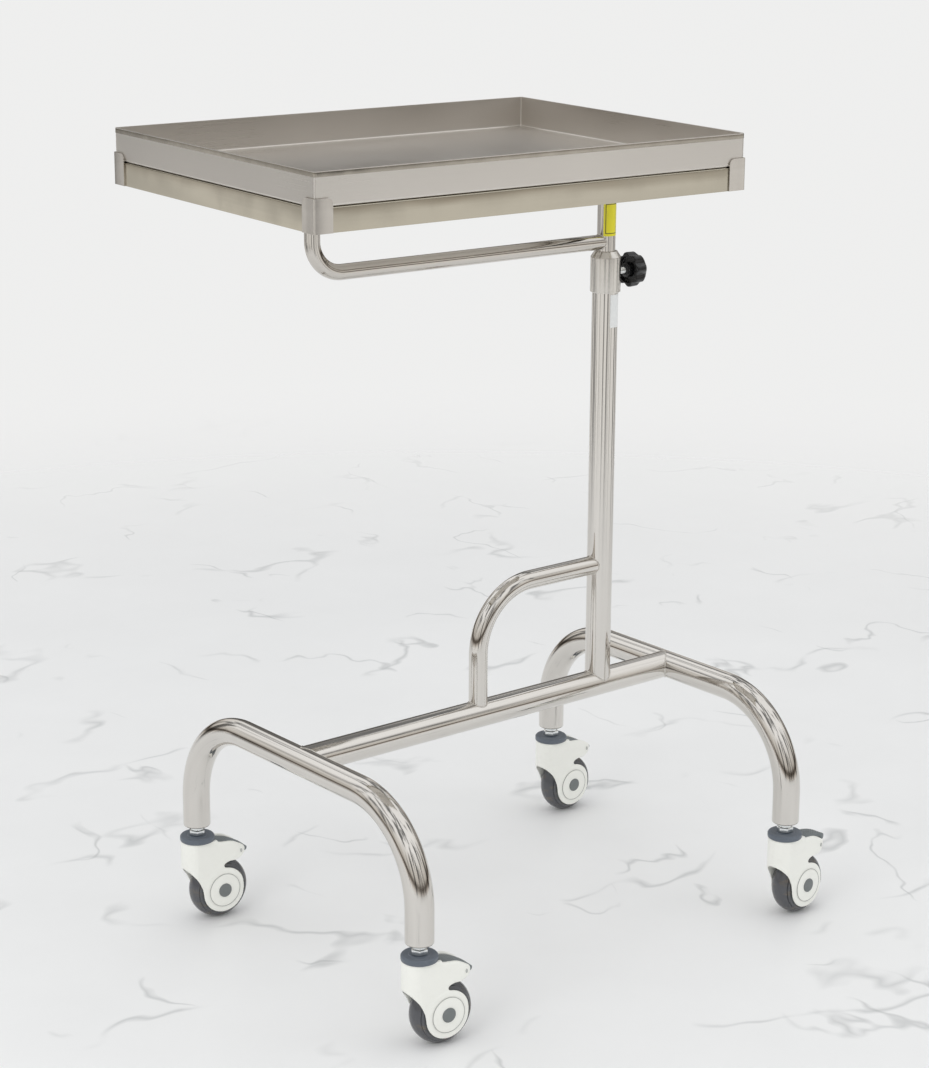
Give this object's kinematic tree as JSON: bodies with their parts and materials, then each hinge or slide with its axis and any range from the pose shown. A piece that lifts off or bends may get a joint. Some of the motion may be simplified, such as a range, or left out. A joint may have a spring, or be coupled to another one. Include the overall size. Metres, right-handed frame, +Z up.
{
  "type": "instrument cart",
  "caption": "Height-adjustable instrument stand: lift-out steel tray on a swivelling side-arm frame, post with clamp knob, arched base on braked swivel casters.",
  "frame": {"origin": "on the floor under the middle of the cart's box, with the casters and the tray as they stand at rest", "axes": "+Z up; the base's beam runs along X, with the post towards +X and the tray hanging out towards -X; the two arches run along Y"},
  "size_m": [0.7812, 0.5198, 1.0296],
  "materials": {
    "polished_steel": "polished stainless tube, bright with soft streaks",
    "brushed_steel": "satin stainless sheet with fine brushing",
    "zinc_steel": "bright zinc-plated",
    "ivory_plastic": "smooth ivory-white moulding",
    "blue_grey_plastic": "satin blue-grey moulding",
    "grey_plastic": "satin grey moulding",
    "tread_rubber": "smooth dark grey tread",
    "black_plastic": "black moulding with a soft shine",
    "white_nylon": "natural nylon"
  },
  "bodies": {
    "base": {"left_arch": "polished_steel", "right_arch": "polished_steel", "crossbar": "polished_steel", "brace": "polished_steel", "post": "polished_steel", "collar": "brushed_steel", "guide_bush": "white_nylon", "front_left_leg_insert": "polished_steel", "back_left_leg_insert": "polished_steel", "back_right_leg_insert": "polished_steel", "front_right_leg_insert": "polished_steel", "front_left_stem": "zinc_steel", "back_left_stem": "zinc_steel", "back_right_stem": "zinc_steel", "front_right_stem": "zinc_steel"},
    "clamp_stud": {"knob_stud": "zinc_steel"},
    "clamp_knob": {"knob": "black_plastic"},
    "mast_slider": {"mast_foot": "white_nylon"},
    "mast_assembly": {"mast": "polished_steel", "support_arm": "polished_steel", "mast_cross_bar": "brushed_steel", "arm_cross_bar": "brushed_steel", "rail_front": "polished_steel", "rail_back": "polished_steel", "rail_left": "polished_steel", "rail_right": "polished_steel", "tray_corner_front_left": "polished_steel", "tray_corner_front_right": "polished_steel", "tray_corner_back_left": "polished_steel", "tray_corner_back_right": "polished_steel"},
    "tray": {"tray": "brushed_steel"},
    "front_left_caster": {"front_left_swivel_ring": "blue_grey_plastic", "front_left_housing": "ivory_plastic", "front_left_axle": "grey_plastic"},
    "front_left_wheel": {"front_left_wheel_core": "grey_plastic", "front_left_tread": "tread_rubber"},
    "front_left_brake": {"front_left_pedal": "blue_grey_plastic"},
    "back_left_caster": {"back_left_swivel_ring": "blue_grey_plastic", "back_left_housing": "ivory_plastic", "back_left_axle": "grey_plastic"},
    "back_left_wheel": {"back_left_wheel_core": "grey_plastic", "back_left_tread": "tread_rubber"},
    "back_left_brake": {"back_left_pedal": "blue_grey_plastic"},
    "back_right_caster": {"back_right_swivel_ring": "blue_grey_plastic", "back_right_housing": "ivory_plastic", "back_right_axle": "grey_plastic"},
    "back_right_wheel": {"back_right_wheel_core": "grey_plastic", "back_right_tread": "tread_rubber"},
    "back_right_brake": {"back_right_pedal": "blue_grey_plastic"},
    "front_right_caster": {"front_right_swivel_ring": "blue_grey_plastic", "front_right_housing": "ivory_plastic", "front_right_axle": "grey_plastic"},
    "front_right_wheel": {"front_right_wheel_core": "grey_plastic", "front_right_tread": "tread_rubber"},
    "front_right_brake": {"front_right_pedal": "blue_grey_plastic"}
  },
  "joints": [
    {"name": "stud_advance", "type": "slide", "parent": "base", "child": "clamp_stud", "axis": [1, 0, 0], "range_m": [0, 0.0026]},
    {"name": "knob_turn", "type": "hinge", "parent": "clamp_stud", "child": "clamp_knob", "pos_m": [0.2404, -0.0034, 0.8319], "axis": [1, 0, 0], "range_deg": [0, 720]},
    {"name": "mast_height", "type": "slide", "parent": "base", "child": "mast_slider", "axis": [0, 0, 1], "range_m": [0, 0.3]},
    {"name": "mast_swivel", "type": "hinge", "parent": "mast_slider", "child": "mast_assembly", "pos_m": [0.1964, -0.0034, 0.8603], "axis": [0, 0, 1], "continuous": true},
    {"name": "tray_lift", "type": "slide", "parent": "mast_assembly", "child": "tray", "axis": [0, 0, 1], "range_m": [0, 0.12]},
    {"name": "front_left_swivel", "type": "hinge", "parent": "base", "child": "front_left_caster", "pos_m": [-0.2837, -0.2353, 0.1144], "axis": [0, 0, 1], "continuous": true},
    {"name": "front_left_roll", "type": "hinge", "parent": "front_left_caster", "child": "front_left_wheel", "pos_m": [-0.25513, -0.23805, 0.04], "axis": [0.0958, 0.9954, 0], "continuous": true},
    {"name": "front_left_brake_press", "type": "hinge", "parent": "front_left_caster", "child": "front_left_brake", "pos_m": [-0.25384, -0.23818, 0.1], "axis": [-0.0958, -0.9954, 0], "range_deg": [0, 14]},
    {"name": "back_left_swivel", "type": "hinge", "parent": "base", "child": "back_left_caster", "pos_m": [-0.2837, 0.2285, 0.1144], "axis": [0, 0, 1], "continuous": true},
    {"name": "back_left_roll", "type": "hinge", "parent": "back_left_caster", "child": "back_left_wheel", "pos_m": [-0.25508, 0.2264, 0.04], "axis": [0.0732, 0.9973, 0], "continuous": true},
    {"name": "back_left_brake_press", "type": "hinge", "parent": "back_left_caster", "child": "back_left_brake", "pos_m": [-0.25378, 0.2263, 0.1], "axis": [-0.0732, -0.9973, 0], "range_deg": [0, 14]},
    {"name": "back_right_swivel", "type": "hinge", "parent": "base", "child": "back_right_caster", "pos_m": [0.3202, 0.2285, 0.1144], "axis": [0, 0, 1], "continuous": true},
    {"name": "back_right_roll", "type": "hinge", "parent": "back_right_caster", "child": "back_right_wheel", "pos_m": [0.34888, 0.2295, 0.04], "axis": [-0.0349, 0.9994, 0], "continuous": true},
    {"name": "back_right_brake_press", "type": "hinge", "parent": "back_right_caster", "child": "back_right_brake", "pos_m": [0.35018, 0.22955, 0.1], "axis": [0.0349, -0.9994, 0], "range_deg": [0, 14]},
    {"name": "front_right_swivel", "type": "hinge", "parent": "base", "child": "front_right_caster", "pos_m": [0.3202, -0.2353, 0.1144], "axis": [0, 0, 1], "continuous": true},
    {"name": "front_right_roll", "type": "hinge", "parent": "front_right_caster", "child": "front_right_wheel", "pos_m": [0.34879, -0.23275, 0.04], "axis": [-0.0889, 0.996, 0], "continuous": true},
    {"name": "front_right_brake_press", "type": "hinge", "parent": "front_right_caster", "child": "front_right_brake", "pos_m": [0.35008, -0.23263, 0.1], "axis": [0.0889, -0.996, 0], "range_deg": [-14, 0]}
  ],
  "couplings": [
    {"joint": "stud_advance", "follows": "knob_turn", "m_per_rad": 0.00019894}
  ]
}
